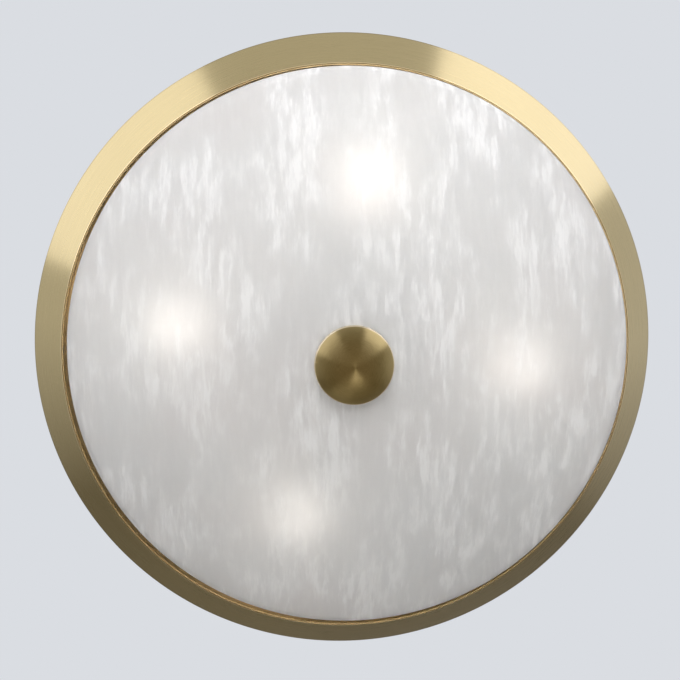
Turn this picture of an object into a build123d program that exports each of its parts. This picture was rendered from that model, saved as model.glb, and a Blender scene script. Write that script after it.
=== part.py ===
from build123d import *
import math
import os

# A round ceiling light: a white pan fixed to the ceiling, a spun brass rim round it, four lamps
# inside, and a bowed glass shade held up at its middle by a threaded rod and a domed brass knob.
# Millimetres, +Z up. The origin is the middle of the pan's back, where it meets the ceiling, so
# the light hangs below it. A height written as "down" is measured from the ceiling.

# Rim, pan and glass are drawn with this many flat sides
large_sides = 60
cut_over = 1.0              # a cut runs this far past both faces of its piece

# Pan, a flat disc whose radius drives the other large pieces
pan_r = 206.0
pan_sheet = 1.0
slot_spacing_x = 150.0      # four slots for ceiling screws, centre to centre
slot_spacing_y = 120.0
slot_length = 12.0
slot_width = 5.2

# Gallery, a ring welded under the pan's edge that carries the rim
gallery_depth = 14.0        # ceiling to the underside of its lower flange
gallery_sheet = 1.0
gallery_flange = 16.0       # its upper flange goes in, its lower flange out by this
gallery_seam_r = pan_r - gallery_flange
gallery_flange_r = pan_r + gallery_flange

# Glass shade
glass_past_pan = 15.5       # from the pan's edge to the outside of its upright rim
glass_r = pan_r + glass_past_pan
glass_thick = 4.0
glass_depth = 65.0          # from the bead's bottom to the lowest point of the curve
glass_bend_r = 12.0         # between the bowl and the upright rim
glass_rim_height = 6.0      # rim standing up inside the brass lip
glass_seat_r = 22.0         # ground flat round the hole
glass_hole_r = 7.0
glass_play = 1.6            # the glass hangs this far off centre, in its hole's play
glass_play_turn = -45.0     # and in this direction
bowl_chords = 6             # straight steps that the bowl's curve is drawn with
bend_chords = 2

# Brass rim
lip_clearance = 1.9         # round the glass, for its play
rim_width = 26.6            # from the lip to the outer edge
rim_sheet = 0.8             # sheet it is spun from
rim_ceiling_gap = 1.0       # outer edge down from the ceiling
rim_hem_height = 1.2        # upright face of the outer edge
rim_hem_width = 2.6         # how far in the edge is turned over
rim_drop = 32.0             # from the hem down to the crease above the bead
bead_width = 2.0
bead_side = 1.0             # straight side of the bead, below the crease
bead_roll = 0.9             # rounded bottom of the bead, below its side
rim_flange_gap = 2.0        # from the gallery's wall to the flange that is screwed to it
lip_r = glass_r + lip_clearance   # inside of the bead, the opening for the glass
rim_r = lip_r + rim_width
rim_flange_r = pan_r + rim_flange_gap

# Screws between rim and gallery
rim_screw_count = 3
rim_screw_out = 9.0         # from the gallery's wall
rim_screw_circle_r = pan_r + rim_screw_out
rim_screw_turn = 60.0       # direction of the first one, degrees from +X
screw_r = 1.9
screw_hole_clearance = 0.2
screw_head_r = 3.6
screw_head_height = 2.2
small_nut_flats = 7.0
small_nut_height = 3.0

# Middle rod, with its nuts and washers
rod_r = 5.0
rod_bore_r = 3.6
rod_clearance = 0.1
rod_above_nut = 1.5
rod_nut_flats = 14.0
top_nut_height = 3.0
lock_washer_r = 9.0
lock_washer_thick = 1.0
lock_nut_height = 5.0
stop_nut_height = 5.0
stop_washer_r = 12.0
stop_washer_thick = 1.2
stop_pad_r = 14.0
stop_pad_thick = 1.5

# Knob
knob_r = 30.0
knob_edge = 4.0             # upright edge
knob_dome = 13.0            # height of the dome below the edge
knob_chords = 5
knob_sides = 48
knob_bore_depth = 11.0
knob_pad_r = 18.0
knob_pad_thick = 1.5
knob_rod_clearance = 0.08
knob_bore_spare = 0.5       # the rod ends this far from the bore's floor

# Spider: a flat strip star with four arms, each bent down to carry a lampholder
lamp_turns = (5.0, 107.0, 189.0, 277.0)   # directions of the lamps, hand set, so a little uneven
spider_reach = 59.5         # outside face of the bent arms
spider_thick = 1.5
spider_width = 18.0
spider_hub_r = 17.0
spider_drop = 10.0          # ceiling to the top of its hub
spider_bend = 2.5           # bevel that stands for the bend
arm_below_axis = 9.0        # arm reaches this far below the lamp's axis
arm_corner = 5.0
ear_turns = (148.0, 328.0)  # two ears, each screwed to a pillar that stands on the pan
ear_reach = 23.0
ear_r = 6.5
pillar_r = 4.0
pillar_screw_grip = 6.0     # length of screw inside a pillar

# Lampholders and lamps, with distances outward from the arm's outside face
lamp_down = 32.0            # lamp axes, down from the ceiling
lamp_sides = 10             # flat sides of the four lamps and their holders
holder_stem_r = 4.9
holder_stem = 7.0           # behind the face, through the arm and its nut
holder_back_r = 12.5
holder_back = 20.0
holder_front_r = 14.2
holder_mouth_r = 15.0
holder_length = 47.5
holder_socket_r = 7.9
holder_socket = 23.5        # depth of the socket
holder_wire_r = 3.0
holder_wire_depth = 12.0
holder_edge = 0.4           # bevel round the back
holder_shoulder = 2.0       # length of the cone from back to front
holder_lip = 2.0            # length of the rolled mouth
holder_port = 6.0           # square window over each terminal
holder_nut_height = 3.5
socket_gap = 0.3
shell_wall = 0.35
shell_back = 3.5            # shell ends this far inside the mouth
cap_r = 6.9
cap_neck = 0.6              # how much narrower the cap is where its insulator starts
cap_insulator = 2.0         # length of the insulator's cone
cap_collar = 0.5            # how far the collar at the globe stands out
cap_collar_length = 1.5
contact_r = 2.4
contact_height = 1.2
globe_r = 22.5
globe_wall = 1.0
globe_neck_r = 9.2
globe_past_mouth = 30.0     # from the holder's mouth to the middle of the globe
globe_chords = 6
globe_start_angle = 14.0    # degrees round the globe past the neck, for its first corner
globe_end_angle = 171.0     # and for its last one, on a small flat end

# Terminal block, earth screw and cable entry
block_turn = 56.0
block_reach = 62.0
block_poles = 4
block_pitch = 10.0
block_depth = 16.0
block_base = 9.0
block_tower = 8.0
block_tower_width = 7.0
block_wire_r = 2.2
block_wire_down = 13.0      # wire holes, down from the ceiling
block_screw_r = 1.6
block_screw_height = 1.0
block_screw_share = 0.25    # each screw sits this share of the block's depth from its middle
block_fixing_r = 1.5
earth_turn = 146.0          # for the ceiling's earth wire
earth_reach = 60.0
earth_washer_r = 5.5
earth_washer_thick = 0.8
entry_turn = 236.0
entry_reach = 31.0
entry_r = 5.0               # bore of the bush, for the ceiling's cable
entry_neck_r = 8.0
entry_flange_r = 10.0
entry_flange = 2.0
entry_spout_r = 7.0
entry_spout = 3.0

# Leads
lead_r = 1.5
lead_sides = 5
lead_in_stem = 3.0          # how far a lead starts inside its holder's stem
lead_in_block = 4.0
lead_straight = 22.0        # straight run out of the stem
lead_last_run = 14.0        # straight run into the block
bend_share = 0.45           # share of the shorter run that a bend may take up
lead_poles = (0, 3, 2, 1)   # pole of the block that the lead of each lamp goes to
lead_bends = [              # and the points that it is led past
    [(22, 14, -22)],
    [(4, 29, -22)],
    [(-14, 10, -24), (4, 27, -14)],
    [(13, -12, -26), (20, 12, -18)],
]

# Heights and places that follow from the sizes above
hem_z = -rim_ceiling_gap
hem_low_z = hem_z - rim_hem_height
crease_r = lip_r + bead_width
crease_z = hem_low_z - rim_drop
bead_low_z = crease_z - bead_side - bead_roll
pan_low_z = -pan_sheet
flange_z = -gallery_depth
spider_z = -spider_drop
spider_low_z = spider_z - spider_thick
glass_apex_z = bead_low_z - glass_depth
glass_rim_z = bead_low_z + glass_rim_height
bowl_r = ((glass_r - glass_bend_r) ** 2 + glass_depth ** 2 - glass_bend_r ** 2) / (
    2 * (glass_depth - glass_bend_r))
bowl_centre_z = glass_apex_z + bowl_r
seat_z = bowl_centre_z - math.sqrt(bowl_r ** 2 - glass_seat_r ** 2)
inner_seat_z = seat_z + glass_thick
knob_back_z = seat_z - knob_pad_thick
rod_low_z = knob_back_z - knob_bore_depth + knob_bore_spare
stop_pad_z = inner_seat_z + stop_pad_thick
stop_washer_z = stop_pad_z + stop_washer_thick
top_nut_z = spider_z + top_nut_height
lamp_z = -lamp_down
arm_inside = spider_reach - spider_thick
shell_floor = holder_length - holder_socket
shell_r = holder_socket_r - rod_clearance
cap_start = shell_floor + shell_wall + socket_gap
cap_end = holder_length + socket_gap


def on_circle(reach, turn, z=0.0):
    angle = math.radians(turn)
    return Vector(reach * math.cos(angle), reach * math.sin(angle), z)


def lathe(points, sides):
    # a turned piece about Z from (radius, height) corners in order, drawn with flat sides
    turns = [2 * math.pi * k / sides for k in range(sides)]
    rings = [[Vector(r * math.cos(a), r * math.sin(a), z) for a in turns] for r, z in points]
    faces = []
    for ring, following in zip(rings, rings[1:] + rings[:1]):
        for k in range(sides):
            after = (k + 1) % sides
            corners = []
            for corner in (ring[k], ring[after], following[after], following[k]):
                if corner not in corners:
                    corners.append(corner)
            if len(corners) > 2:
                faces.append(Face(Wire.make_polygon(corners, close=True)))
    return Part(Solid(Shell(faces)).clean().wrapped)


def turned(stations, sides=lamp_sides):
    # a turned piece along +X, from (distance, radius) pairs in order
    outline = [(radius, distance) for distance, radius in stations]
    start = (0, stations[0][0])
    end = (0, stations[-1][0])
    return Rot(0, 90, 0) * lathe([start] + outline + [end], sides)


def many_sided(radius, low, high, sides=24):
    # an upright prism between two heights that stands for a small round piece
    return extrude(Pos(0, 0, low) * RegularPolygon(radius, sides), amount=high - low)


def washer(outer, inner, low, thick, sides=24):
    hole = many_sided(inner, low - cut_over, low + thick + cut_over, sides)
    return many_sided(outer, low, low + thick, sides) - hole


def hex_nut(flats, bore, low, height, sides=16):
    corner_r = flats / 2 / math.cos(math.pi / 6)
    hole = many_sided(bore, low - cut_over, low + height + cut_over, sides)
    return many_sided(corner_r, low, low + height, 6) - hole


def screw_up(head_z, length):
    # a screw put in from below: its head hangs under head_z and its shank rises from it
    head = many_sided(screw_head_r, head_z - screw_head_height, head_z, 10)
    return head + many_sided(screw_r, head_z, head_z + length, 8)


def screw_hole(low, thick, radius=screw_r):
    return many_sided(radius + screw_hole_clearance, low - cut_over, low + thick + cut_over, 8)


def round_the_rim(shape):
    step = 360.0 / rim_screw_count
    return [Rot(0, 0, rim_screw_turn + step * i) * Pos(rim_screw_circle_r, 0, 0) * shape
            for i in range(rim_screw_count)]


def out_along(turn, shape):
    # a lamp piece, built along +X from the arm's outside face, put in its place
    return Rot(0, 0, turn) * Pos(spider_reach, 0, lamp_z) * shape


def brass_rim():
    # one spun sheet: turned-over hem, cone, crease, rolled bead, inner wall and flange
    cone_width = rim_r - crease_r
    cone_length = math.hypot(cone_width, rim_drop)
    inset = rim_sheet * cone_length / rim_drop
    wall_r = lip_r + rim_sheet
    join_z = crease_z + rim_drop * (wall_r + inset - crease_r) / cone_width
    hem_end_z = hem_low_z - rim_drop * rim_hem_width / cone_width
    body = lathe([
        (rim_r, hem_z),
        (rim_r, hem_low_z),
        (crease_r, crease_z),
        (crease_r, crease_z - bead_side),
        (lip_r + bead_width / 2, bead_low_z),
        (lip_r, crease_z - bead_side),
        (lip_r, flange_z - rim_sheet),
        (rim_flange_r, flange_z - rim_sheet),
        (rim_flange_r, flange_z),
        (wall_r, flange_z),
        (wall_r, join_z),
        (rim_r - rim_hem_width - inset, hem_end_z),
        (rim_r - rim_hem_width, hem_z),
    ], large_sides)
    for hole in round_the_rim(screw_hole(flange_z - rim_sheet, rim_sheet)):
        body -= hole
    return body


def pan():
    # flat disc with four ceiling slots and holes for cable, earth screw and terminal block
    body = many_sided(pan_r, pan_low_z, 0, large_sides)
    slot = extrude(SlotOverall(slot_length, slot_width), amount=2 * pan_sheet, both=True)
    cuts = []
    for side_x in (-0.5, 0.5):
        for side_y in (-0.5, 0.5):
            cuts.append(Pos(side_x * slot_spacing_x, side_y * slot_spacing_y, 0) * slot)
    cuts.append(Pos(on_circle(entry_reach, entry_turn)) * Cylinder(entry_neck_r, 4 * pan_sheet))
    cuts.append(Pos(on_circle(earth_reach, earth_turn)) * screw_hole(pan_low_z, pan_sheet))
    cuts.append(Pos(on_circle(block_reach, block_turn)) * screw_hole(pan_low_z, pan_sheet, block_fixing_r))
    for cut in cuts:
        body -= cut
    return body


def gallery_ring():
    # one rolled sheet: seam flange under the pan's edge, wall and lower flange for the rim
    wall_in = pan_r - gallery_sheet
    body = lathe([
        (gallery_seam_r, pan_low_z),
        (pan_r, pan_low_z),
        (pan_r, flange_z + gallery_sheet),
        (gallery_flange_r, flange_z + gallery_sheet),
        (gallery_flange_r, flange_z),
        (wall_in, flange_z),
        (wall_in, pan_low_z - gallery_sheet),
        (gallery_seam_r, pan_low_z - gallery_sheet),
    ], large_sides)
    for hole in round_the_rim(screw_hole(flange_z, gallery_sheet)):
        body -= hole
    return body


def rim_screws():
    length = rim_sheet + gallery_sheet + small_nut_height
    screw = screw_up(flange_z - rim_sheet, length)
    return Compound(children=round_the_rim(screw))


def rim_nuts():
    nut = hex_nut(small_nut_flats, screw_r + rod_clearance, flange_z + gallery_sheet, small_nut_height, 8)
    return Compound(children=round_the_rim(nut))


def middle_rod():
    height = top_nut_z + rod_above_nut - rod_low_z
    body = Cylinder(rod_r, height) - Cylinder(rod_bore_r, height + cut_over)
    return Pos(0, 0, rod_low_z + height / 2) * body


def spider():
    # four strip arms from one hub, with bevelled bends, and two ears for the pillars
    arm_low = lamp_z - arm_below_axis
    inner_bend = spider_bend - spider_thick * (2 - math.sqrt(2))
    side_view = [
        (0, spider_z),
        (spider_reach - spider_bend, spider_z),
        (spider_reach, spider_z - spider_bend),
        (spider_reach, arm_low),
        (arm_inside, arm_low),
        (arm_inside, spider_low_z - inner_bend),
        (arm_inside - inner_bend, spider_low_z),
        (0, spider_low_z),
    ]
    with BuildSketch(Plane.XZ) as outline:
        with BuildLine():
            Polyline(*side_view, close=True)
        make_face()
    arm = extrude(outline.sketch, amount=spider_width / 2, both=True)
    corners = arm.edges().filter_by(Axis.X).group_by(Axis.Z)[0]
    arm = chamfer(corners, arm_corner)
    stem_hole_r = holder_stem_r + rod_clearance
    stem_hole = turned([(arm_inside - cut_over, stem_hole_r), (spider_reach + cut_over, stem_hole_r)])
    arm -= Pos(0, 0, lamp_z) * stem_hole
    body = many_sided(spider_hub_r, spider_low_z, spider_z, 16)
    for turn in lamp_turns:
        body += Rot(0, 0, turn) * arm
    ear = many_sided(ear_r, spider_low_z, spider_z, 12)
    strip = Pos(ear_reach / 2, 0, spider_z - spider_thick / 2) * Box(ear_reach, 2 * ear_r, spider_thick)
    for turn in ear_turns:
        body += Pos(on_circle(ear_reach, turn)) * ear
        body += Rot(0, 0, turn) * strip
        body -= Pos(on_circle(ear_reach, turn)) * screw_hole(spider_low_z, spider_thick)
    return body - many_sided(rod_r + rod_clearance, spider_low_z - cut_over, spider_z + cut_over)


def at_the_ears(shape):
    return [Pos(on_circle(ear_reach, turn)) * shape for turn in ear_turns]


def pillars():
    bore = screw_r + rod_clearance
    pillar = washer(pillar_r, bore, spider_z, spider_drop - pan_sheet, 12)
    return Compound(children=at_the_ears(pillar))


def pillar_screws():
    screw = screw_up(spider_low_z, spider_thick + pillar_screw_grip)
    return Compound(children=at_the_ears(screw))


def lampholder():
    # stem, back, shoulder, front and rolled mouth, with the socket, wire hole and terminal windows
    lip_start = holder_length - holder_lip
    body = turned([
        (-holder_stem, holder_stem_r),
        (0, holder_stem_r),
        (holder_edge, holder_back_r - holder_edge),
        (2 * holder_edge, holder_back_r),
        (holder_back, holder_back_r),
        (holder_back + holder_shoulder, holder_front_r),
        (lip_start - holder_lip / 2, holder_front_r),
        (lip_start, holder_mouth_r),
        (holder_length, holder_mouth_r),
    ])
    socket_floor = holder_length - holder_socket
    body -= turned([(socket_floor, holder_socket_r), (holder_length + cut_over, holder_socket_r)])
    body -= turned([(-holder_stem - cut_over, holder_wire_r), (holder_wire_depth, holder_wire_r)], 8)
    for side in (-1, 1):
        window = Box(holder_port, holder_port, holder_port)
        body -= Pos(holder_back / 2, side * holder_back_r, 0) * window
    return body


def holder_nuts():
    nut = Rot(0, 90, 0) * hex_nut(rod_nut_flats, holder_stem_r + rod_clearance, 0, holder_nut_height)
    seat = -spider_thick - holder_nut_height
    return Compound(children=[out_along(turn, Pos(seat, 0, 0) * nut) for turn in lamp_turns])


def screw_shell():
    # thin brass cup on the socket's floor
    shell_end = holder_length - shell_back
    cup = turned([(shell_floor, shell_r), (shell_end, shell_r)])
    inside = shell_r - shell_wall
    return cup - turned([(shell_floor + shell_wall, inside), (shell_end + cut_over, inside)])


def lamp_cap():
    # contact, glass insulator, screw sleeve and a collar at the mouth
    contact_end = cap_start + contact_height
    insulator_end = contact_end + cap_insulator
    return turned([
        (cap_start, contact_r),
        (contact_end, contact_r),
        (insulator_end, cap_r - cap_neck),
        (insulator_end + cap_insulator / 2, cap_r),
        (cap_end - cap_collar_length, cap_r),
        (cap_end, cap_r + cap_collar),
    ])


def globe_stations(radius, neck_r, start, chords):
    # neck, then points on the globe's circle from the neck round to its far end
    middle = holder_length + globe_past_mouth
    first = math.asin(neck_r / radius) + math.radians(globe_start_angle)
    last = math.radians(globe_end_angle)
    stations = [(start, neck_r)]
    for i in range(chords + 1):
        angle = first + (last - first) * i / chords
        stations.append((middle - radius * math.cos(angle), radius * math.sin(angle)))
    return stations


def lamp_globe():
    outside = turned(globe_stations(globe_r, globe_neck_r, cap_end, globe_chords))
    inner_r = globe_r - globe_wall
    hollow_start = cap_end + globe_wall
    hollow = turned(globe_stations(inner_r, globe_neck_r - globe_wall, hollow_start, globe_chords))
    return outside - hollow


def dish_side(inset):
    # corners of the glass from hole to rim: flat seat, bowl, bend and upright rim, moved in by inset
    bowl = bowl_r - inset
    bend = glass_bend_r - inset
    bend_centre_r = glass_r - glass_bend_r
    bend_centre_z = bead_low_z
    first = math.acos((bowl_centre_z - seat_z - inset) / bowl)
    last = math.atan2(bend_centre_r, bowl_centre_z - bend_centre_z)
    corners = [(glass_hole_r, seat_z + inset)]
    for i in range(bowl_chords + 1):
        angle = first + (last - first) * i / bowl_chords
        corners.append((bowl * math.sin(angle), bowl_centre_z - bowl * math.cos(angle)))
    for i in range(1, bend_chords + 1):
        angle = last + (math.pi / 2 - last) * i / bend_chords
        corners.append((bend_centre_r + bend * math.sin(angle), bend_centre_z - bend * math.cos(angle)))
    corners.append((glass_r - inset, glass_rim_z))
    return corners


def glass_shade():
    outline = dish_side(0) + dish_side(glass_thick)[::-1]
    return Pos(on_circle(glass_play, glass_play_turn)) * lathe(outline, large_sides)


def knob():
    # turned brass: flat back with a blind bore, upright edge and a shallow dome
    dome_r = (knob_r ** 2 + knob_dome ** 2) / (2 * knob_dome)
    widest = math.asin(knob_r / dome_r)
    edge_z = knob_back_z - knob_edge
    outline = [(0, knob_back_z), (knob_r, knob_back_z)]
    for i in range(knob_chords + 1):
        angle = widest * (1 - i / knob_chords)
        drop = dome_r * math.cos(angle) - (dome_r - knob_dome)
        outline.append((dome_r * math.sin(angle), edge_z - drop))
    bore = Cylinder(rod_r + knob_rod_clearance, 2 * knob_bore_depth)
    return lathe(outline, knob_sides) - Pos(0, 0, knob_back_z) * bore


def block_place(shape):
    return Rot(0, 0, block_turn) * Pos(block_reach, 0, 0) * shape


def pole_offset(i):
    return (i - (block_poles - 1) / 2) * block_pitch


def terminal_block():
    # a base with one tower for each pole, each with a wire hole right through
    length = block_poles * block_pitch
    top = pan_low_z
    body = Pos(0, 0, top - block_base / 2) * Box(block_depth, length, block_base)
    for i in range(block_poles):
        tower_z = top - block_base - block_tower / 2
        body += Pos(0, pole_offset(i), tower_z) * Box(block_depth, block_tower_width, block_tower)
        wire_hole = turned([(-block_depth, block_wire_r), (block_depth, block_wire_r)], 8)
        body -= Pos(0, pole_offset(i), -block_wire_down) * wire_hole
    return block_place(body - screw_hole(top - block_base, block_base, block_fixing_r))


def terminal_screws():
    low = pan_low_z - block_base - block_tower - block_screw_height
    head = many_sided(block_screw_r, low, low + block_screw_height, 8)
    screws = []
    for i in range(block_poles):
        for side in (-block_screw_share, block_screw_share):
            screws.append(block_place(Pos(side * block_depth, pole_offset(i), 0) * head))
    return Compound(children=screws)


def block_fixing_screw():
    # it passes the block between its two middle poles
    head_z = pan_low_z - block_base
    head_r = block_pitch / 2 - block_tower_width / 2
    head = many_sided(head_r, head_z - block_screw_height, head_z, 8)
    shank = many_sided(block_fixing_r - rod_clearance, head_z, -rod_clearance, 8)
    return block_place(head + shank)


def earth_screw():
    head_z = pan_low_z - earth_washer_thick
    return Pos(on_circle(earth_reach, earth_turn)) * screw_up(head_z, earth_washer_thick + pan_sheet)


def earth_washer():
    ring = washer(earth_washer_r, screw_r + screw_hole_clearance, pan_low_z - earth_washer_thick,
                  earth_washer_thick, 12)
    return Pos(on_circle(earth_reach, earth_turn)) * ring


def cable_bush():
    # a neck pushed into the pan from below, a flange under the pan and a spout, with a round bore
    flange_low = pan_low_z - entry_flange
    spout_low = flange_low - entry_spout
    body = many_sided(entry_neck_r - rod_clearance, pan_low_z, 0)
    body += many_sided(entry_flange_r, flange_low, pan_low_z)
    body += many_sided(entry_spout_r, spout_low, flange_low)
    bore = Pos(0, 0, spout_low / 2) * Cylinder(entry_r, 2 * cut_over - spout_low)
    return Pos(on_circle(entry_reach, entry_turn)) * (body - bore)


def lead_points(turn, pole, between):
    # straight out of the holder's stem, past the rod, up beside the spider and into the block
    start_reach = spider_reach - holder_stem + lead_in_stem
    start = on_circle(start_reach, turn, lamp_z)
    first_bend = on_circle(start_reach - lead_straight, turn, lamp_z)
    outward = on_circle(1.0, block_turn)
    along = on_circle(1.0, block_turn + 90)
    face = outward * (block_reach - block_depth / 2) + along * pole_offset(pole)
    entry = face - Vector(0, 0, block_wire_down)
    middle = [Vector(*point) for point in between]
    return [start, first_bend] + middle + [entry - outward * lead_last_run, entry + outward * lead_in_block]


def bend_radii(points):
    # the largest arc that each corner's two runs leave room for
    radii = []
    for before, corner, after in zip(points, points[1:], points[2:]):
        run_in = corner - before
        run_out = after - corner
        half_turn = math.radians(run_in.get_angle(run_out)) / 2
        radii.append(bend_share * min(run_in.length, run_out.length) / math.tan(half_turn))
    return radii


def lead(turn, pole, between):
    points = lead_points(turn, pole, between)
    radii = bend_radii(points)
    path = FilletPolyline(*points, radius=radii)
    section = Plane(origin=path @ 0, z_dir=path % 0) * RegularPolygon(lead_r, lead_sides)
    body = sweep(section, path=path)
    print("lead of the lamp at", turn, "bends", [round(r, 1) for r in radii],
          "volume", round(body.volume, 1), "section by length", round(section.area * path.length, 1))
    return body


def lamp_leads():
    return Compound(children=[lead(*route) for route in zip(lamp_turns, lead_poles, lead_bends)])


def all_parts():
    rod_hole = rod_r + rod_clearance
    parts = {
        "pan": pan(),
        "gallery_ring": gallery_ring(),
        "brass_rim": brass_rim(),
        "rim_screws": rim_screws(),
        "rim_nuts": rim_nuts(),
        "middle_rod": middle_rod(),
        "rod_top_nut": hex_nut(rod_nut_flats, rod_hole, spider_z, top_nut_height),
        "rod_lock_washer": washer(lock_washer_r, rod_hole, spider_low_z - lock_washer_thick,
                                  lock_washer_thick, 16),
        "rod_lock_nut": hex_nut(rod_nut_flats, rod_hole,
                                spider_low_z - lock_washer_thick - lock_nut_height, lock_nut_height),
        "stop_nut": hex_nut(rod_nut_flats, rod_hole, stop_washer_z, stop_nut_height),
        "stop_washer": washer(stop_washer_r, rod_hole, stop_pad_z, stop_washer_thick),
        "stop_pad": washer(stop_pad_r, rod_hole, inner_seat_z, stop_pad_thick),
        "lamp_spider": spider(),
        "holder_nuts": holder_nuts(),
        "terminal_block": terminal_block(),
        "terminal_screws": terminal_screws(),
        "block_fixing_screw": block_fixing_screw(),
        "earth_screw": earth_screw(),
        "earth_washer": earth_washer(),
        "cable_bush": cable_bush(),
        "pillars": pillars(),
        "pillar_screws": pillar_screws(),
        "lamp_leads": lamp_leads(),
        "glass_shade": glass_shade(),
        "knob_pad": washer(knob_pad_r, rod_hole, knob_back_z, knob_pad_thick),
        "knob": knob(),
    }
    holder = lampholder()
    shell = screw_shell()
    cap = lamp_cap()
    globe = lamp_globe()
    for number, turn in enumerate(lamp_turns, start=1):
        parts[f"lampholder_{number}"] = out_along(turn, holder)
        parts[f"screw_shell_{number}"] = out_along(turn, shell)
        parts[f"lamp_cap_{number}"] = out_along(turn, cap)
        parts[f"lamp_globe_{number}"] = out_along(turn, globe)
    return parts


os.makedirs("parts", exist_ok=True)
for node, shape in all_parts().items():
    export_step(shape, f"parts/{node}.step")
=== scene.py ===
import math
import bpy
import numpy as np
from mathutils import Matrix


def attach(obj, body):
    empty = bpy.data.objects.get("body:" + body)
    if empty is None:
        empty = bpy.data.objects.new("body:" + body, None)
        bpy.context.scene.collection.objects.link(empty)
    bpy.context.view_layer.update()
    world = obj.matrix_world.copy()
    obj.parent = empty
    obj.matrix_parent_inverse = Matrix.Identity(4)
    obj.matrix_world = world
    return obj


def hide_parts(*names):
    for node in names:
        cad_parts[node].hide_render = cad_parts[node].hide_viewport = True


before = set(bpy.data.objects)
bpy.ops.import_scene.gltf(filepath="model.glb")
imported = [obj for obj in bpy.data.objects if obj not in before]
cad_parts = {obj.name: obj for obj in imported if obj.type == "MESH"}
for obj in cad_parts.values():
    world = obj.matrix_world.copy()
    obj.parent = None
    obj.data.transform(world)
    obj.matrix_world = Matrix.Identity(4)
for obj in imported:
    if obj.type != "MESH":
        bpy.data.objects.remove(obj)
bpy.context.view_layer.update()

mm = 0.001
lampTurns = (5.0, 107.0, 189.0, 277.0)   # directions of the four lamps, degrees
lampDown = -32.0   # height of the lamp axes, mm
armFace = 59.5   # outside face of the spider's arms, mm from the rod
print("frame loaded,", len(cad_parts), "solids in it")


def roundedCorners(corners, radii, steps=5):
    # Each corner becomes an arc that touches both of its sides: it starts radius * tan(half the turn)
    # before the corner, and its points swing round the arc's centre in equal steps.
    spot = np.array(corners, float)
    radius = np.broadcast_to(np.array(radii, float), len(spot))
    before = spot - np.roll(spot, 1, axis=0)
    after = np.roll(spot, -1, axis=0) - spot
    before = before / np.linalg.norm(before, axis=1, keepdims=True)
    after = after / np.linalg.norm(after, axis=1, keepdims=True)
    turn = np.arctan2(before[:, 0] * after[:, 1] - before[:, 1] * after[:, 0], (before * after).sum(axis=1))
    start = spot - before * (radius * np.tan(np.abs(turn) / 2))[:, None]
    inward = np.stack([-before[:, 1], before[:, 0]], axis=1) * np.sign(turn)[:, None]
    centre = start + inward * radius[:, None]
    swing = turn[:, None] * np.linspace(0, 1, steps + 1)
    arm = start - centre
    across = centre[:, :1] + arm[:, :1] * np.cos(swing) - arm[:, 1:] * np.sin(swing)
    up = centre[:, 1:] + arm[:, :1] * np.sin(swing) + arm[:, 1:] * np.cos(swing)
    path = np.stack([across.ravel(), up.ravel()], axis=1)
    apart = np.linalg.norm(path - np.roll(path, 1, axis=0), axis=1) > 1e-6
    return path[apart]


def around(columns):
    return np.linspace(0, 2 * np.pi, columns, endpoint=False)


def rings(radius, height, angle):
    # The point at radius r, height z and angle a: (r cos a, r sin a, z).
    return np.stack([radius * np.cos(angle), radius * np.sin(angle), height + 0 * angle], axis=-1)


def spun(profile, columns=256):
    # every point of the profile, a radius and a height, carried round the axis
    return rings(profile[:, :1], profile[:, 1:], around(columns))


def threadWave(height, pitch, angle):
    # 0 on the crest and 1 in the groove of a thread that climbs one pitch a turn:
    # (1 - cos(2 pi height / pitch - angle)) / 2
    return (1 - np.cos(2 * np.pi * height / pitch - angle)) / 2


def alongX(grid):
    # A turned shape laid on its side, so that its height runs along +X from the arm's face.
    x, y, z = grid[..., 0], grid[..., 1], grid[..., 2]
    return np.stack([z + armFace, y, lampDown - x], axis=-1)


def shifted(grid, x=0.0, y=0.0, z=0.0):
    return grid + np.array([x, y, z])


def swung(grid, swing):
    # the grid turned about the Z axis by an angle in radians
    c, s = math.cos(swing), math.sin(swing)
    return grid @ np.array([[c, s, 0], [-s, c, 0], [0, 0, 1]])


def onCircle(reach, turn):
    return reach * math.cos(math.radians(turn)), reach * math.sin(math.radians(turn))


def newObject(name, data):
    made = bpy.data.objects.new(name, data)
    bpy.context.scene.collection.objects.link(made)
    return made


def smoothed(mesh, sharp):
    # smooth shading, with edges left sharp where faces meet at more than this angle
    mesh.polygons.foreach_set("use_smooth", np.ones(len(mesh.polygons), bool))
    mesh.set_sharp_from_angle(angle=math.radians(sharp))


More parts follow.
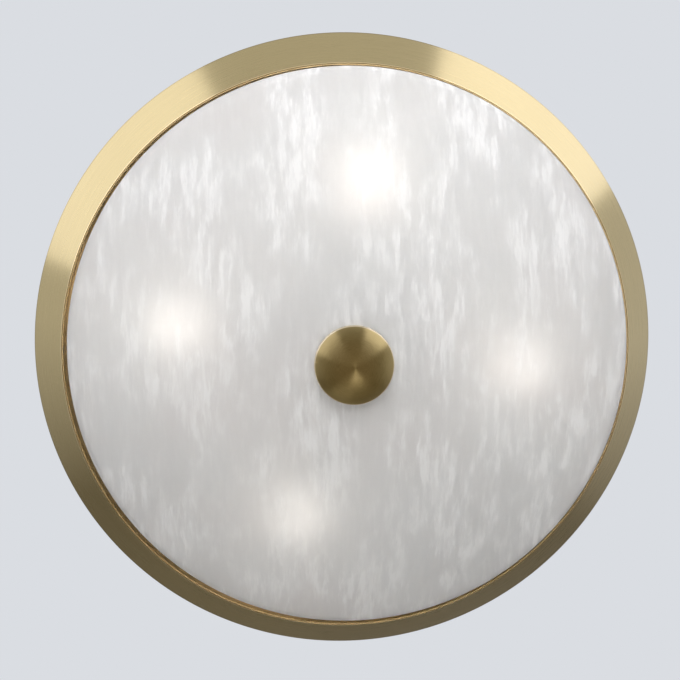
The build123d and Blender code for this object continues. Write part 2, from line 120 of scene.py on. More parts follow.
def skin(name, grid, sharp=32):
    # The grid is closed both ways, its rows and its columns. Points that fall together, as on the
    # axis, become one point, and a face that loses a corner by it becomes a triangle or goes.
    rows, columns = grid.shape[:2]
    flat = grid.reshape(-1, 3) * mm
    key = np.round(flat * 1e7).astype(np.int64)
    first, same = np.unique(key, axis=0, return_index=True, return_inverse=True)[1:]
    row = np.arange(rows)[:, None]
    column = np.arange(columns)[None, :]
    nextRow = (row + 1) % rows
    nextColumn = (column + 1) % columns
    quad = np.stack([row * columns + column, row * columns + nextColumn,
                     nextRow * columns + nextColumn, nextRow * columns + column], axis=-1)
    quad = same.reshape(-1)[quad.reshape(-1, 4)]
    step = np.linalg.norm(np.roll(grid, -1, axis=0) - grid, axis=-1).max(axis=1)
    along = np.concatenate([[0.0], np.cumsum(step)]) * mm
    u = np.stack([column, column + 1, column + 1, column], axis=-1) / columns + 0.0 * row[..., None]
    v = np.stack([along[row], along[row], along[row + 1], along[row + 1]], axis=-1) + 0.0 * u
    uv = np.stack([u, v], axis=-1).reshape(-1, 4, 2)
    kept = quad != np.roll(quad, -1, axis=1)
    corners = kept.sum(axis=1)
    isQuad, isTriangle = corners == 4, corners == 3
    quads, quadUv = quad[isQuad], uv[isQuad]
    triangles = quad[isTriangle][kept[isTriangle]].reshape(-1, 3)
    triangleUv = uv[isTriangle][kept[isTriangle]].reshape(-1, 3, 2)
    points = flat[first]
    a, b, c, d = (points[quads[:, corner]] for corner in range(4))
    volume = (a * np.cross(b, c)).sum() + (a * np.cross(c, d)).sum()
    if volume < 0:
        quads, quadUv = quads[:, ::-1], quadUv[:, ::-1]
        triangles, triangleUv = triangles[:, ::-1], triangleUv[:, ::-1]
    mesh = bpy.data.meshes.new(name)
    mesh.from_pydata(points.tolist(), [], quads.tolist() + triangles.tolist())
    layer = mesh.uv_layers.new(name="around")
    layer.data.foreach_set("uv", np.concatenate([quadUv.reshape(-1), triangleUv.reshape(-1)]))
    smoothed(mesh, sharp)
    mesh.update()
    return newObject(name, mesh)


def applied(piece):
    # the piece with its modifiers made part of its mesh
    depsgraph = bpy.context.evaluated_depsgraph_get()
    mesh = bpy.data.meshes.new_from_object(piece.evaluated_get(depsgraph))
    piece.modifiers.clear()
    piece.data = mesh
    return piece


def cutBy(piece, cutters, sharp=32):
    for cutter in cutters:
        cut = piece.modifiers.new("cut", "BOOLEAN")
        cut.operation = "DIFFERENCE"
        cut.solver = "EXACT"
        cut.object = cutter
    applied(piece)
    for cutter in cutters:
        bpy.data.objects.remove(cutter)
    piece.data.set_sharp_from_angle(angle=math.radians(sharp))
    return piece


def prism(name, outline, low, high):
    # An outline carried straight up between two heights, each end closed to its middle point.
    outline = np.array(outline, float)
    middle = np.broadcast_to(outline.mean(axis=0), outline.shape)
    layers = [(middle, low), (outline, low), (outline, high), (middle, high)]
    grid = np.stack([np.column_stack([xy, np.full(len(xy), z)]) for xy, z in layers])
    return skin(name, grid)


def movePoints(mesh, change):
    # puts every point of the mesh, in metres, through the given change
    points = np.empty(len(mesh.vertices) * 3)
    mesh.vertices.foreach_get("co", points)
    mesh.vertices.foreach_set("co", change(points.reshape(-1, 3)).ravel())
    mesh.update()


def turnedCopy(piece, name, turn):
    # the same piece turned about the rod's axis, with the turn in its mesh
    mesh = piece.data.copy()
    mesh.name = name
    movePoints(mesh, lambda points: swung(points, math.radians(turn)))
    return newObject(name, mesh)


def joined(name, pieces):
    # several pieces made one object
    with bpy.context.temp_override(active_object=pieces[0], selected_editable_objects=pieces):
        bpy.ops.object.join()
    pieces[0].name = name
    pieces[0].data.name = name
    return pieces[0]


def softenedCopy(name, node, bevel):
    # a copy of a frame solid with its loose triangles merged and its edges softened
    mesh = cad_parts[node].data.copy()
    mesh.name = name
    copy = newObject(name, mesh)
    weld = copy.modifiers.new("weld", "WELD")
    weld.merge_threshold = 1e-6
    flatten = copy.modifiers.new("flatten", "DECIMATE")
    flatten.decimate_type = "DISSOLVE"
    flatten.angle_limit = math.radians(0.5)
    soften = copy.modifiers.new("soften", "BEVEL")
    soften.width = bevel * mm
    soften.segments = 3
    soften.limit_method = "ANGLE"
    soften.angle_limit = math.radians(30)
    applied(copy)
    copy.data.materials.clear()
    smoothed(copy.data, 40)
    return copy


def settle(piece, finish, body, *nodes):
    # gives a piece the material of its finish and its body, and hides the frame solids that it stands for
    material, slot = finish
    piece.data.materials.clear()
    piece.data.materials.append(material)
    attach(piece, body)
    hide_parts(*nodes)


# Materials. Every pattern reads Object coordinates, so metres from the middle of the pan's back.

def newMaterial(name):
    material = bpy.data.materials.new(name)
    material.use_nodes = True
    tree = material.node_tree
    tree.nodes.clear()
    output = tree.nodes.new("ShaderNodeOutputMaterial")
    shader = tree.nodes.new("ShaderNodeBsdfPrincipled")
    tree.links.new(shader.outputs[0], output.inputs[0])
    return material, tree, shader


def wire(tree, node, inputs):
    # a socket is linked to the node's input, and any other value is set on the input itself
    for key, value in inputs.items():
        if isinstance(value, bpy.types.NodeSocket):
            tree.links.new(value, node.inputs[key])
        else:
            node.inputs[key].default_value = value
    return node


def add(tree, kind, inputs, **settings):
    made = tree.nodes.new("ShaderNode" + kind)
    for key, value in settings.items():
        setattr(made, key, value)
    return wire(tree, made, inputs)


def objectSpot(tree):
    return add(tree, "TexCoord", {}).outputs["Object"]


def mapped(tree, vector, scale, offset=(0, 0, 0)):
    return add(tree, "Mapping", {"Vector": vector, "Scale": scale, "Location": offset}).outputs[0]


def noise(tree, vector, scale=1.0, detail=2.0, roughness=0.5):
    made = add(tree, "TexNoise", {"Vector": vector, "Scale": scale, "Detail": detail, "Roughness": roughness})
    return made.outputs["Fac"]


def calc(tree, operation, *values, clamp=False):
    return add(tree, "Math", dict(enumerate(values)), operation=operation, use_clamp=clamp).outputs[0]


def between(tree, value, low, high, toLow=0.0, toHigh=1.0, eased=True):
    return add(tree, "MapRange", {"Value": value, "From Min": low, "From Max": high, "To Min": toLow,
                                  "To Max": toHigh},
               interpolation_type="SMOOTHSTEP" if eased else "LINEAR").outputs[0]


def blendColour(tree, amount, first, second):
    ends = [colour + (1.0,) if isinstance(colour, tuple) else colour for colour in (first, second)]
    return add(tree, "MixRGB", {"Fac": amount, "Color1": ends[0], "Color2": ends[1]}).outputs[0]


def bump(tree, shader, height, distance, strength):
    made = add(tree, "Bump", {"Height": height, "Distance": distance, "Strength": strength})
    wire(tree, shader, {"Normal": made.outputs[0]})


def roundTheAxis(tree, lines, arcs):
    # brushing on a lathe: long arcs round the axis, fine lines across. The direction from the axis
    # is stretched a little and the distance along the profile, radius plus height, a lot
    x, y, z = add(tree, "SeparateXYZ", {"Vector": objectSpot(tree)}).outputs
    radius = calc(tree, "SQRT", calc(tree, "ADD", calc(tree, "MULTIPLY", x, x), calc(tree, "MULTIPLY", y, y)))
    safe = calc(tree, "MAXIMUM", radius, 0.0005)
    across = calc(tree, "MULTIPLY", calc(tree, "DIVIDE", x, safe), arcs)
    along = calc(tree, "MULTIPLY", calc(tree, "DIVIDE", y, safe), arcs)
    depth = calc(tree, "MULTIPLY", calc(tree, "ADD", radius, z), lines)
    vector = add(tree, "CombineXYZ", {"X": across, "Y": along, "Z": depth}).outputs[0]
    return vector, radius, z


# Each pair of radii or heights, in metres, says where a colour starts and where it is full.
rimLook = {
    "metal": (0.72, 0.565, 0.265),
    "shade": (0.61, 0.475, 0.21),
    # painted shade: a dark line painted along the rim's outer edge, between these radii
    "edge": (0.32, 0.24, 0.11), "edgeShadeRadii": (0.2488, 0.2499), "edgeShadeShare": 0.55,
    "bead": (0.92, 0.70, 0.36),      # bead round the glass, polished, its colour painted brighter as a painted highlight
    "beadRadii": (0.2258, 0.2252), "beadHeights": (-0.0335, -0.0341), "beadRoughness": 0.2,
    "inside": (0.42, 0.305, 0.15),    # painted shade: the lip's inner side painted dark in the gap beside the glass
    "gapShadeRadii": (0.2246, 0.2240), "gapShadeHeights": (-0.0345, -0.0335),
    "roughness": 0.30,
    "anisotropy": 0.94,
    "lacquer": 0.5,
    "lines": 0.12,
}
knobLook = {
    "metal": (0.74, 0.575, 0.26),
    "shade": (0.60, 0.45, 0.19),
    # painted shade: the dome painted darker towards its edge, between these radii
    "edge": (0.53, 0.40, 0.175), "edgeShadeRadii": (0.0215, 0.0285), "edgeShadeShare": 0.75,
    "paintedEdgeGlint": (0.92, 0.80, 0.58), "paintedEdgeGlintRadii": (0.0291, 0.0295),   # painted highlight: a bright ring painted round the dome's edge
    "roughness": 0.34,
    "anisotropy": 0.8,
    "lacquer": 0.12,
    "lines": 0.16,
}


def brushedBrass(name, look):
    material, tree, shader = newMaterial(name)
    lineVector, radius, height = roundTheAxis(tree, lines=2600.0, arcs=5.0)
    broadVector = roundTheAxis(tree, lines=420.0, arcs=3.0)[0]
    lines = noise(tree, lineVector, detail=3.0, roughness=0.65)
    broad = noise(tree, broadVector)
    cloud = noise(tree, objectSpot(tree), scale=14.0, detail=3.0)
    # painted shade: the look's edge colour painted over its outer radii, a dark line on the rim and a
    # darkening towards the knob's edge
    paintedEdgeShade = between(tree, radius, *look["edgeShadeRadii"], 0.0, look["edgeShadeShare"])
    colour = blendColour(tree, between(tree, lines, 0.3, 0.7), look["shade"], look["metal"])
    colour = blendColour(tree, between(tree, broad, 0.35, 0.75, 0.0, 0.35), colour, look["metal"])
    colour = blendColour(tree, between(tree, cloud, 0.45, 0.75, 0.0, 0.22), colour, look["shade"])
    colour = blendColour(tree, paintedEdgeShade, colour, look["edge"])
    rough = between(tree, lines, 0.2, 0.8, look["roughness"] - 0.05, look["roughness"] + 0.06)
    relief = lines
    if "bead" in look:
        onBead = calc(tree, "MULTIPLY", between(tree, radius, *look["beadRadii"]),
                      between(tree, height, *look["beadHeights"]))
        # painted shade on the lip's inner side, in the gap beside the glass
        inside = calc(tree, "MULTIPLY", between(tree, radius, *look["gapShadeRadii"]),
                      between(tree, height, *look["gapShadeHeights"]))
        offBead = calc(tree, "SUBTRACT", 1.0, onBead)
        # painted highlight: the bead's brighter brass colour
        colour = blendColour(tree, onBead, colour, look["bead"])
        colour = blendColour(tree, inside, colour, look["inside"])
        rough = calc(tree, "ADD", calc(tree, "MULTIPLY", rough, offBead),
                     calc(tree, "MULTIPLY", onBead, look["beadRoughness"]))
        relief = calc(tree, "MULTIPLY", lines, offBead)
    else:
        # painted highlight: a bright ring round the knob's edge
        colour = blendColour(tree, between(tree, radius, *look["paintedEdgeGlintRadii"]), colour, look["paintedEdgeGlint"])
    tangent = add(tree, "Tangent", {}, direction_type="UV_MAP", uv_map="around").outputs[0]
    # a quarter turn of the anisotropy spreads the light across the lines
    wire(tree, shader, {"Base Color": colour, "Roughness": rough, "Metallic": 1.0, "Tangent": tangent,
                        "Anisotropic": look["anisotropy"], "Anisotropic Rotation": 0.25,
                        "Coat Weight": look["lacquer"], "Coat Roughness": 0.2})
    bump(tree, shader, relief, 0.00002, look["lines"])
    return material


glassLook = {
    "body": (0.856, 0.851, 0.84),
    "warm": (0.856, 0.838, 0.825),
    "streak": (1.0, 0.994, 0.98),
    "roughness": 0.92,
    "transmission": 0.5,
    "throughStreak": 0.62,   # share of the transmission that is left on a streak
    "drift": (0.006, 0.010, 0.0),   # how far the slow noise bends the streaks
    "large": {"scale": (160.0, 26.0, 60.0), "offset": (0, 0, 0), "detail": 4.0, "rough": 0.64,
              "cut": (0.41, 0.59)},
    "small": {"scale": (360.0, 52.0, 90.0), "offset": (7, 3, 1), "detail": 3.0, "rough": 0.6,
              "cut": (0.38, 0.63)},
    "clump": {"scale": (24.0, 13.0, 20.0), "offset": (1, 9, 4), "detail": 3.0, "rough": 0.6,
              "cut": (0.41, 0.58)},
}


def alabasterGlass(name, look):
    # Feathery white streaks that run along Y: noise that is squeezed across and stretched along,
    # bent by a slower noise and cut at a level, in two sizes, and kept to clumps by a third.
    material, tree, shader = newMaterial(name)
    spot = objectSpot(tree)
    drift = add(tree, "TexNoise", {"Vector": spot, "Scale": 17.0, "Detail": 2.0}).outputs["Color"]
    drift = add(tree, "VectorMath", {0: drift, 1: (0.5, 0.5, 0.5)}, operation="SUBTRACT").outputs[0]
    drift = add(tree, "VectorMath", {0: drift, 1: look["drift"]}, operation="MULTIPLY").outputs[0]
    bent = add(tree, "VectorMath", {0: spot, 1: drift}, operation="ADD").outputs[0]

    def layer(plan):
        vector = mapped(tree, bent, plan["scale"], plan["offset"])
        return between(tree, noise(tree, vector, 1.0, plan["detail"], plan["rough"]), *plan["cut"])

    large, small, clump = (layer(look[key]) for key in ("large", "small", "clump"))
    feathered = calc(tree, "MULTIPLY", large, between(tree, small, 0.0, 1.0, 0.5, 1.0, eased=False))
    streaks = calc(tree, "MULTIPLY", feathered, between(tree, clump, 0.0, 1.0, 0.16, 1.0, eased=False))
    fine = calc(tree, "MULTIPLY", small, 0.22)
    fine = calc(tree, "MULTIPLY", fine, between(tree, clump, 0.0, 1.0, 0.3, 1.0))
    mask = calc(tree, "ADD", streaks, fine, clamp=True)
    cloud = noise(tree, spot, scale=9.0, detail=3.0)
    grain = noise(tree, spot, scale=900.0)
    body = blendColour(tree, between(tree, cloud, 0.35, 0.7), look["body"], look["warm"])
    body = blendColour(tree, between(tree, grain, 0.3, 0.8, 0.0, 0.12), body, look["streak"])
    clear, onStreak = look["transmission"], look["transmission"] * look["throughStreak"]
    wire(tree, shader, {
        "Base Color": blendColour(tree, calc(tree, "MULTIPLY", mask, 0.9), body, look["streak"]),
        "Transmission Weight": between(tree, mask, 0.0, 1.0, clear, onStreak),
        "Roughness": between(tree, grain, 0.2, 0.8, look["roughness"] - 0.04, look["roughness"] + 0.05),
        "IOR": 1.42,
    })
    bump(tree, shader, calc(tree, "ADD", mask, calc(tree, "MULTIPLY", grain, 0.3)), 0.00004, 0.4)
    return material


lacquerLook = {"colour": (0.86, 0.86, 0.84), "dull": (0.80, 0.80, 0.775), "roughness": 0.42}


def whiteLacquer(name, look):
    material, tree, shader = newMaterial(name)
    cloud = noise(tree, objectSpot(tree), scale=11.0, detail=4.0, roughness=0.6)
    peel = noise(tree, objectSpot(tree), scale=620.0, detail=1.0)
    wire(tree, shader, {
        "Base Color": blendColour(tree, between(tree, cloud, 0.35, 0.75), look["colour"], look["dull"]),
        "Roughness": between(tree, cloud, 0.2, 0.8, look["roughness"] - 0.05, look["roughness"] + 0.1),
    })
    bump(tree, shader, peel, 0.00003, 0.3)
    return material


zincLook = {"bright": (0.82, 0.83, 0.84), "dark": (0.67, 0.68, 0.70), "roughness": 0.33, "grain": 160.0}
capLook = {"bright": (0.78, 0.78, 0.77), "dark": (0.60, 0.60, 0.60), "roughness": 0.32, "grain": 90.0}


def zincSteel(name, look):
    # crystal flakes of slightly different greys under a fine haze
    material, tree, shader = newMaterial(name)
    crystals = mapped(tree, objectSpot(tree), (look["grain"],) * 3)
    flakes = add(tree, "TexVoronoi", {"Vector": crystals, "Scale": 1.6}).outputs["Color"]
    flake = add(tree, "SeparateColor", {"Color": flakes}).outputs[0]
    haze = noise(tree, objectSpot(tree), scale=60.0, detail=4.0, roughness=0.7)
    mixed = calc(tree, "ADD", calc(tree, "MULTIPLY", flake, 0.35), calc(tree, "MULTIPLY", haze, 0.65))
    wire(tree, shader, {
        "Base Color": blendColour(tree, between(tree, mixed, 0.25, 0.7), look["dark"], look["bright"]),
        "Roughness": between(tree, haze, 0.25, 0.75, look["roughness"] - 0.06, look["roughness"] + 0.12),
        "Metallic": 1.0,
    })
    bump(tree, shader, haze, 0.00002, 0.3)
    return material


turnedBrassLook = {"bright": (0.80, 0.60, 0.28), "dark": (0.60, 0.43, 0.18), "roughness": 0.26}


def turnedBrass(name, look):
    material, tree, shader = newMaterial(name)
    tarnish = noise(tree, objectSpot(tree), scale=180.0, detail=4.0, roughness=0.7)
    wire(tree, shader, {
        "Base Color": blendColour(tree, between(tree, tarnish, 0.3, 0.7), look["dark"], look["bright"]),
        "Roughness": between(tree, tarnish, 0.2, 0.8, look["roughness"] + 0.1, look["roughness"] - 0.05),
        "Metallic": 1.0,
    })
    bump(tree, shader, tarnish, 0.00002, 0.25)
    return material


plasticLooks = {
    "holder": {"colour": (0.80, 0.79, 0.745), "second": (0.74, 0.73, 0.68), "roughness": 0.28,
               "grain": 300.0},
    "block": {"colour": (0.86, 0.855, 0.80), "second": (0.80, 0.79, 0.735), "roughness": 0.5, "grain": 900.0},
    "rubber": {"colour": (0.035, 0.035, 0.036), "second": (0.06, 0.06, 0.062), "roughness": 0.7,
               "grain": 1200.0},
    "lead": {"colour": (0.78, 0.77, 0.71), "second": (0.70, 0.69, 0.63), "roughness": 0.55, "grain": 1500.0},
}


def mouldedPlastic(name, look):
    material, tree, shader = newMaterial(name)
    cloud = noise(tree, objectSpot(tree), scale=45.0, detail=3.0)
    grain = noise(tree, objectSpot(tree), scale=look["grain"])
    wire(tree, shader, {
        "Base Color": blendColour(tree, between(tree, cloud, 0.3, 0.7), look["colour"], look["second"]),
        "Roughness": between(tree, grain, 0.2, 0.8, look["roughness"] - 0.05, look["roughness"] + 0.08),
    })
    bump(tree, shader, grain, 0.00004, 0.3)
    return material


opalLook = {"colour": (0.93, 0.91, 0.87), "second": (0.86, 0.84, 0.79), "glow": (1.0, 0.93, 0.86),
            "strength": 2.4, "roughness": 0.22}


def opalGlass(name, look):
    material, tree, shader = newMaterial(name)
    cloud = noise(tree, objectSpot(tree), scale=50.0, detail=3.0)
    veil = between(tree, cloud, 0.3, 0.7, 0.0, 0.4)
    wire(tree, shader, {
        "Base Color": blendColour(tree, veil, look["colour"], look["second"]),
        "Roughness": between(tree, cloud, 0.2, 0.8, look["roughness"] - 0.05, look["roughness"] + 0.08),
        "Emission Color": look["glow"] + (1.0,),
        "Emission Strength": look["strength"],
    })
    return material


# Finishes: a material and a slot's name
rimBrass = brushedBrass("brushedBrassRim", rimLook), "brushed_brass"
knobBrass = brushedBrass("brushedBrassKnob", knobLook), "brushed_brass"
alabaster = alabasterGlass("alabasterGlass", glassLook), "alabaster_glass"
lacquer = whiteLacquer("whiteLacquer", lacquerLook), "white_lacquer"
zinc = zincSteel("zincSteel", zincLook), "zinc_steel"
smallBrass = turnedBrass("turnedBrass", turnedBrassLook), "brass_small"
capMetal = zincSteel("capMetal", capLook), "lamp_cap_metal"
holderPlastic = mouldedPlastic("holderPlastic", plasticLooks["holder"]), "holder_plastic"
blockPlastic = mouldedPlastic("blockPlastic", plasticLooks["block"]), "block_plastic"
rubber = mouldedPlastic("rubber", plasticLooks["rubber"]), "rubber"
leadSleeve = mouldedPlastic("leadSleeve", plasticLooks["lead"]), "lead_insulation"
opal = opalGlass("opalLampGlass", opalLook), "lamp_glass"
print("materials made:", len(bpy.data.materials))


# The brass rim, one spun sheet
rimPlan = {
    "outer": 250.0, "top": -1.0, "edge": 1.2, "hem": 2.6, "sheet": 0.8,
    "creaseRadius": 225.4, "crease": -34.2, "lip": 223.4, "beadSide": 0.3, "beadLow": -36.1,
    "flangeTop": -14.0, "flangeRadius": 208.0,
}


def brassRim(plan):
    # The profile runs from the hem down the cone to the crease, round the bead, up the inner wall,
    # in along the flange and back inside the cone. The bead's bottom is a half circle stretched to
    # its height: radius = lip + half width * (1 + cos), height = side's end - depth * sin.
    coneWidth = plan["outer"] - plan["creaseRadius"]
    coneTop = plan["top"] - plan["edge"]
    drop = coneTop - plan["crease"]
    inset = plan["sheet"] * math.hypot(coneWidth, drop) / drop
    wall = plan["lip"] + plan["sheet"]
    joinHeight = plan["crease"] + drop * (wall + inset - plan["creaseRadius"]) / coneWidth
    sideEnd = plan["crease"] - plan["beadSide"]
    outside = roundedCorners([
        (plan["outer"] - plan["hem"], plan["top"]),
        (plan["outer"], plan["top"]),
        (plan["outer"], coneTop),
        (plan["creaseRadius"], plan["crease"]),
        (plan["creaseRadius"], sideEnd),
        (plan["lip"], sideEnd),
        (plan["lip"], plan["flangeTop"] - plan["sheet"]),
        (plan["flangeRadius"], plan["flangeTop"] - plan["sheet"]),
        (plan["flangeRadius"], plan["flangeTop"]),
        (wall, plan["flangeTop"]),
        (wall, joinHeight),
        (plan["outer"] - plan["hem"] - inset, coneTop - drop * plan["hem"] / coneWidth),
    ], [0.25, 0.5, 0.4, 0.3, 0, 0, 0.7, 0.2, 0.2, 0.3, 0, 0.2])
    outerSide = np.nonzero((outside[:, 1] == sideEnd) & (outside[:, 0] == plan["creaseRadius"]))[0][0]
    half = (plan["creaseRadius"] - plan["lip"]) / 2
    swing = np.linspace(0, np.pi, 15)[1:-1]
    bead = np.column_stack([plan["lip"] + half + half * np.cos(swing),
                            sideEnd - (sideEnd - plan["beadLow"]) * np.sin(swing)])
    return skin("brassRim", spun(np.insert(outside, outerSide + 1, bead, axis=0), 360))


settle(brassRim(rimPlan), rimBrass, "base", "brass_rim")
print("brass rim made")


# The glass dish
dishPlan = {
    "rim": 221.5, "thick": 4.0, "bowl": 452.559, "bowlMiddle": 351.459, "bend": 12.0, "bendHeight": -36.1,
    "top": -30.1, "seat": 18.0, "seatHeight": -100.565, "hole": 7.0, "middle": (1.131, -1.131), "edge": 1.3,
    "holeEdge": 0.8,
}


def glassDish(plan):
    # A flat seat round the hole, then an arc of the bowl's radius, a smaller arc that bends it up and
    # a straight rim. The inner face is the same with the wall's thickness taken off both radii.
    def side(inset):
        bowl, bend = plan["bowl"] - inset, plan["bend"] - inset
        bendMiddle = plan["rim"] - plan["bend"]
        first = math.acos((plan["bowlMiddle"] - plan["seatHeight"] - inset) / bowl)
        last = math.atan2(bendMiddle, plan["bowlMiddle"] - plan["bendHeight"])
        onBowl = np.linspace(first, last, 72)
        onBend = np.linspace(last, np.pi / 2, 20)[1:]
        return np.concatenate([
            np.column_stack([bowl * np.sin(onBowl), plan["bowlMiddle"] - bowl * np.cos(onBowl)]),
            np.column_stack([bendMiddle + bend * np.sin(onBend), plan["bendHeight"] - bend * np.cos(onBend)]),
        ])

    quarter = np.linspace(0, np.pi / 2, 6)
    up = plan["top"] - plan["edge"] + plan["edge"] * np.sin(quarter)
    back = plan["edge"] * (1 - np.cos(quarter))
    rimOut = np.column_stack([plan["rim"] - back, up])
    rimIn = np.column_stack([plan["rim"] - plan["thick"] + back, up])[::-1]
    seatTop = plan["seatHeight"] + plan["thick"]
    hole = roundedCorners([(plan["seat"], plan["seatHeight"]), (plan["seat"], seatTop),
                           (plan["hole"], seatTop), (plan["hole"], plan["seatHeight"])],
                          [0, 0, plan["holeEdge"], plan["holeEdge"]])
    profile = np.concatenate([side(0), rimOut, rimIn, side(plan["thick"])[::-1], hole[1:], hole[:1]])
    return skin("glassShade", shifted(spun(profile, 320), *plan["middle"]), sharp=24)


settle(glassDish(dishPlan), alabaster, "shade", "glass_shade")
print("glass dish made")


# The knob and its pad
knobPlan = {"radius": 30.0, "back": -102.065, "edge": 4.0, "dome": 13.0, "bore": 5.08, "depth": 11.0,
            "boreEdge": 0.3, "backEdge": 0.7, "domeEdge": 2.2, "pad": 18.0, "padThick": 1.5, "padHole": 5.1}


def domedKnob(plan):
    # A sphere's cap of the given rise stands on an upright edge. The edge is softened where it meets
    # the cap and the back, and the blind bore goes up from the back.
    sphere = (plan["radius"] ** 2 + plan["dome"] ** 2) / (2 * plan["dome"])
    low = plan["back"] - plan["edge"]
    widest = math.asin(plan["radius"] / sphere)
    swing = np.linspace(widest, 0, 26)
    cap = np.column_stack([sphere * np.sin(swing), low - (sphere * np.cos(swing) - sphere + plan["dome"])])
    cap[-1, 0] = 0.0
    floor = plan["back"] - plan["depth"]
    corners = [(plan["bore"], plan["back"]), (plan["radius"], plan["back"])] + cap.tolist()
    corners += [(0.0, floor), (plan["bore"], floor)]
    radii = [plan["boreEdge"], plan["backEdge"], plan["domeEdge"]] + [0.0] * (len(cap) + 1)
    return skin("domedKnob", spun(roundedCorners(corners, radii)), sharp=40)


def flatRing(name, outer, inner, low, high, edge, x=0.0, y=0.0, columns=96):
    # a washer: a rectangle between two radii and two heights with softened corners, spun
    corners = [(inner, low), (outer, low), (outer, high), (inner, high)]
    return skin(name, shifted(spun(roundedCorners(corners, edge, 4), columns), x, y))


settle(domedKnob(knobPlan), knobBrass, "knob", "knob")
settle(flatRing("knobPad", knobPlan["pad"], knobPlan["padHole"], knobPlan["back"],
                knobPlan["back"] + knobPlan["padThick"], 0.4), rubber, "knob_pad", "knob_pad")
print("knob made")


# Pan and gallery ring
panPlan = {"radius": 206.0, "sheet": 1.0, "slotX": 150.0, "slotY": 120.0, "slot": 12.0, "slotWidth": 5.2,
           "seam": 190.0, "flange": 222.0, "depth": 14.0}
holePlan = {"entry": (-17.335, -25.700, 8.0), "earth": (-49.742, 33.552, 2.1), "block": (34.670, 51.400, 1.7)}


def ceilingPan(plan, holes):
    # a disc with a softened edge, cut by four round-ended slots and three round holes
    disc = skin("ceilingPan", spun(roundedCorners(
        [(0, -plan["sheet"]), (plan["radius"], -plan["sheet"]), (plan["radius"], 0), (0, 0)],
        [0, 0.35, 0.35, 0], 4)))
    half = plan["slot"] / 2 - plan["slotWidth"] / 2
    swing = around(48) + np.pi / 48
    circle = np.column_stack([np.cos(swing), np.sin(swing)])
    slot = circle * plan["slotWidth"] / 2 + np.column_stack([half * np.sign(np.cos(swing)), 0 * swing])
    cutters = []
    for sideX in (-0.5, 0.5):
        for sideY in (-0.5, 0.5):
            middle = (sideX * plan["slotX"], sideY * plan["slotY"])
            cutters.append(prism("slotCutter", slot + middle, -3, 2))
    for x, y, radius in holes.values():
        cutters.append(prism("holeCutter", circle * radius + (x, y), -3, 2))
    return cutBy(disc, cutters)


def galleryRing(plan):
    # the same bent strip all round: seam flange, wall and lower flange, with tight bends inside and
    # bends of a little more than the sheet's thickness outside
    sheet = plan["sheet"]
    wall = plan["radius"] - sheet
    corners = [
        (plan["seam"], -sheet), (plan["radius"], -sheet), (plan["radius"], sheet - plan["depth"]),
        (plan["flange"], sheet - plan["depth"]), (plan["flange"], -plan["depth"]), (wall, -plan["depth"]),
        (wall, -2 * sheet), (plan["seam"], -2 * sheet),
    ]
    return skin("galleryRing", spun(roundedCorners(corners, [0.2, 1.2, 0.5, 0.3, 0.3, 1.3, 0.4, 0.2])))


settle(ceilingPan(panPlan, holePlan), lacquer, "base", "pan")
settle(galleryRing(panPlan), lacquer, "base", "gallery_ring")
print("pan and gallery ring made")


# Rod, nuts and washers. The pairs are the heights of a piece's bottom and top.
rodPlan = {"radius": 5.0, "bore": 3.6, "low": -112.565, "high": -5.5, "pitch": 1.0, "groove": 0.5}
nutPlan = {"flats": 14.0, "bore": 5.1, "chamfer": 0.9, "coneIn": 0.35, "coneRise": 1.6, "sink": 0.45}
rimNutPlan = dict(nutPlan, flats=7.0, bore=2.0, chamfer=0.5)
holderNutPlan = dict(nutPlan, bore=5.0)
stackPlan = {"topNut": (-10.0, -7.0), "lockWasher": (-12.5, -11.5), "lockNut": (-17.5, -12.5),
             "stopNut": (-93.865, -88.865), "stopWasher": (-95.065, -93.865), "stopPad": (-96.565, -95.065)}
washerPlan = {"hole": 5.1, "lock": 9.0, "stop": 12.0, "pad": 14.0}


def threadedTube(name, plan, columns=36, rowsPerTurn=6):
    # The radius is the crest's less the groove times the thread's wave. It ends in a short taper at
    # both ends, and inside is a plain bore.
    count = int((plan["high"] - plan["low"]) / plan["pitch"] * rowsPerTurn)
    height = np.linspace(plan["low"], plan["high"], count)[:, None]
    angle = around(columns)[None, :]
    fromEnd = np.minimum(height - plan["low"], plan["high"] - height)
    taper = np.clip(1 - fromEnd / plan["groove"], 0, 1)
    radius = plan["radius"] - plan["groove"] * np.maximum(threadWave(height, plan["pitch"], angle), taper)
    bore = spun(np.array([(plan["bore"], plan["high"]), (plan["bore"], plan["low"])]), columns)
    return skin(name, np.concatenate([rings(radius, height, angle), bore]), sharp=60)


def hexNutGrid(plan, low, high, columns=96):
    # A hexagon's radius is half the flats / cos(angle from the middle of a flat). Near both ends a
    # cone that starts just inside the flats cuts the six corners off. The bore is countersunk.
    angle = around(columns)
    fromFlat = np.mod(angle, np.pi / 3) - np.pi / 6
    hexagon = plan["flats"] / 2 / np.cos(fromFlat)
    depth = np.linspace(0, plan["chamfer"], 5)
    heights = np.concatenate([low + depth, high - depth[::-1]])[:, None]
    cone = plan["flats"] / 2 - plan["coneIn"] + plan["coneRise"] * np.minimum(heights - low, high - heights)
    outside = rings(np.minimum(hexagon[None, :], cone), heights, angle)
    bore, sink = plan["bore"], plan["sink"]
    inner = [(bore + sink, high), (bore, high - sink), (bore, low + sink), (bore + sink, low)]
    return np.concatenate([outside, spun(np.array(inner), columns)])


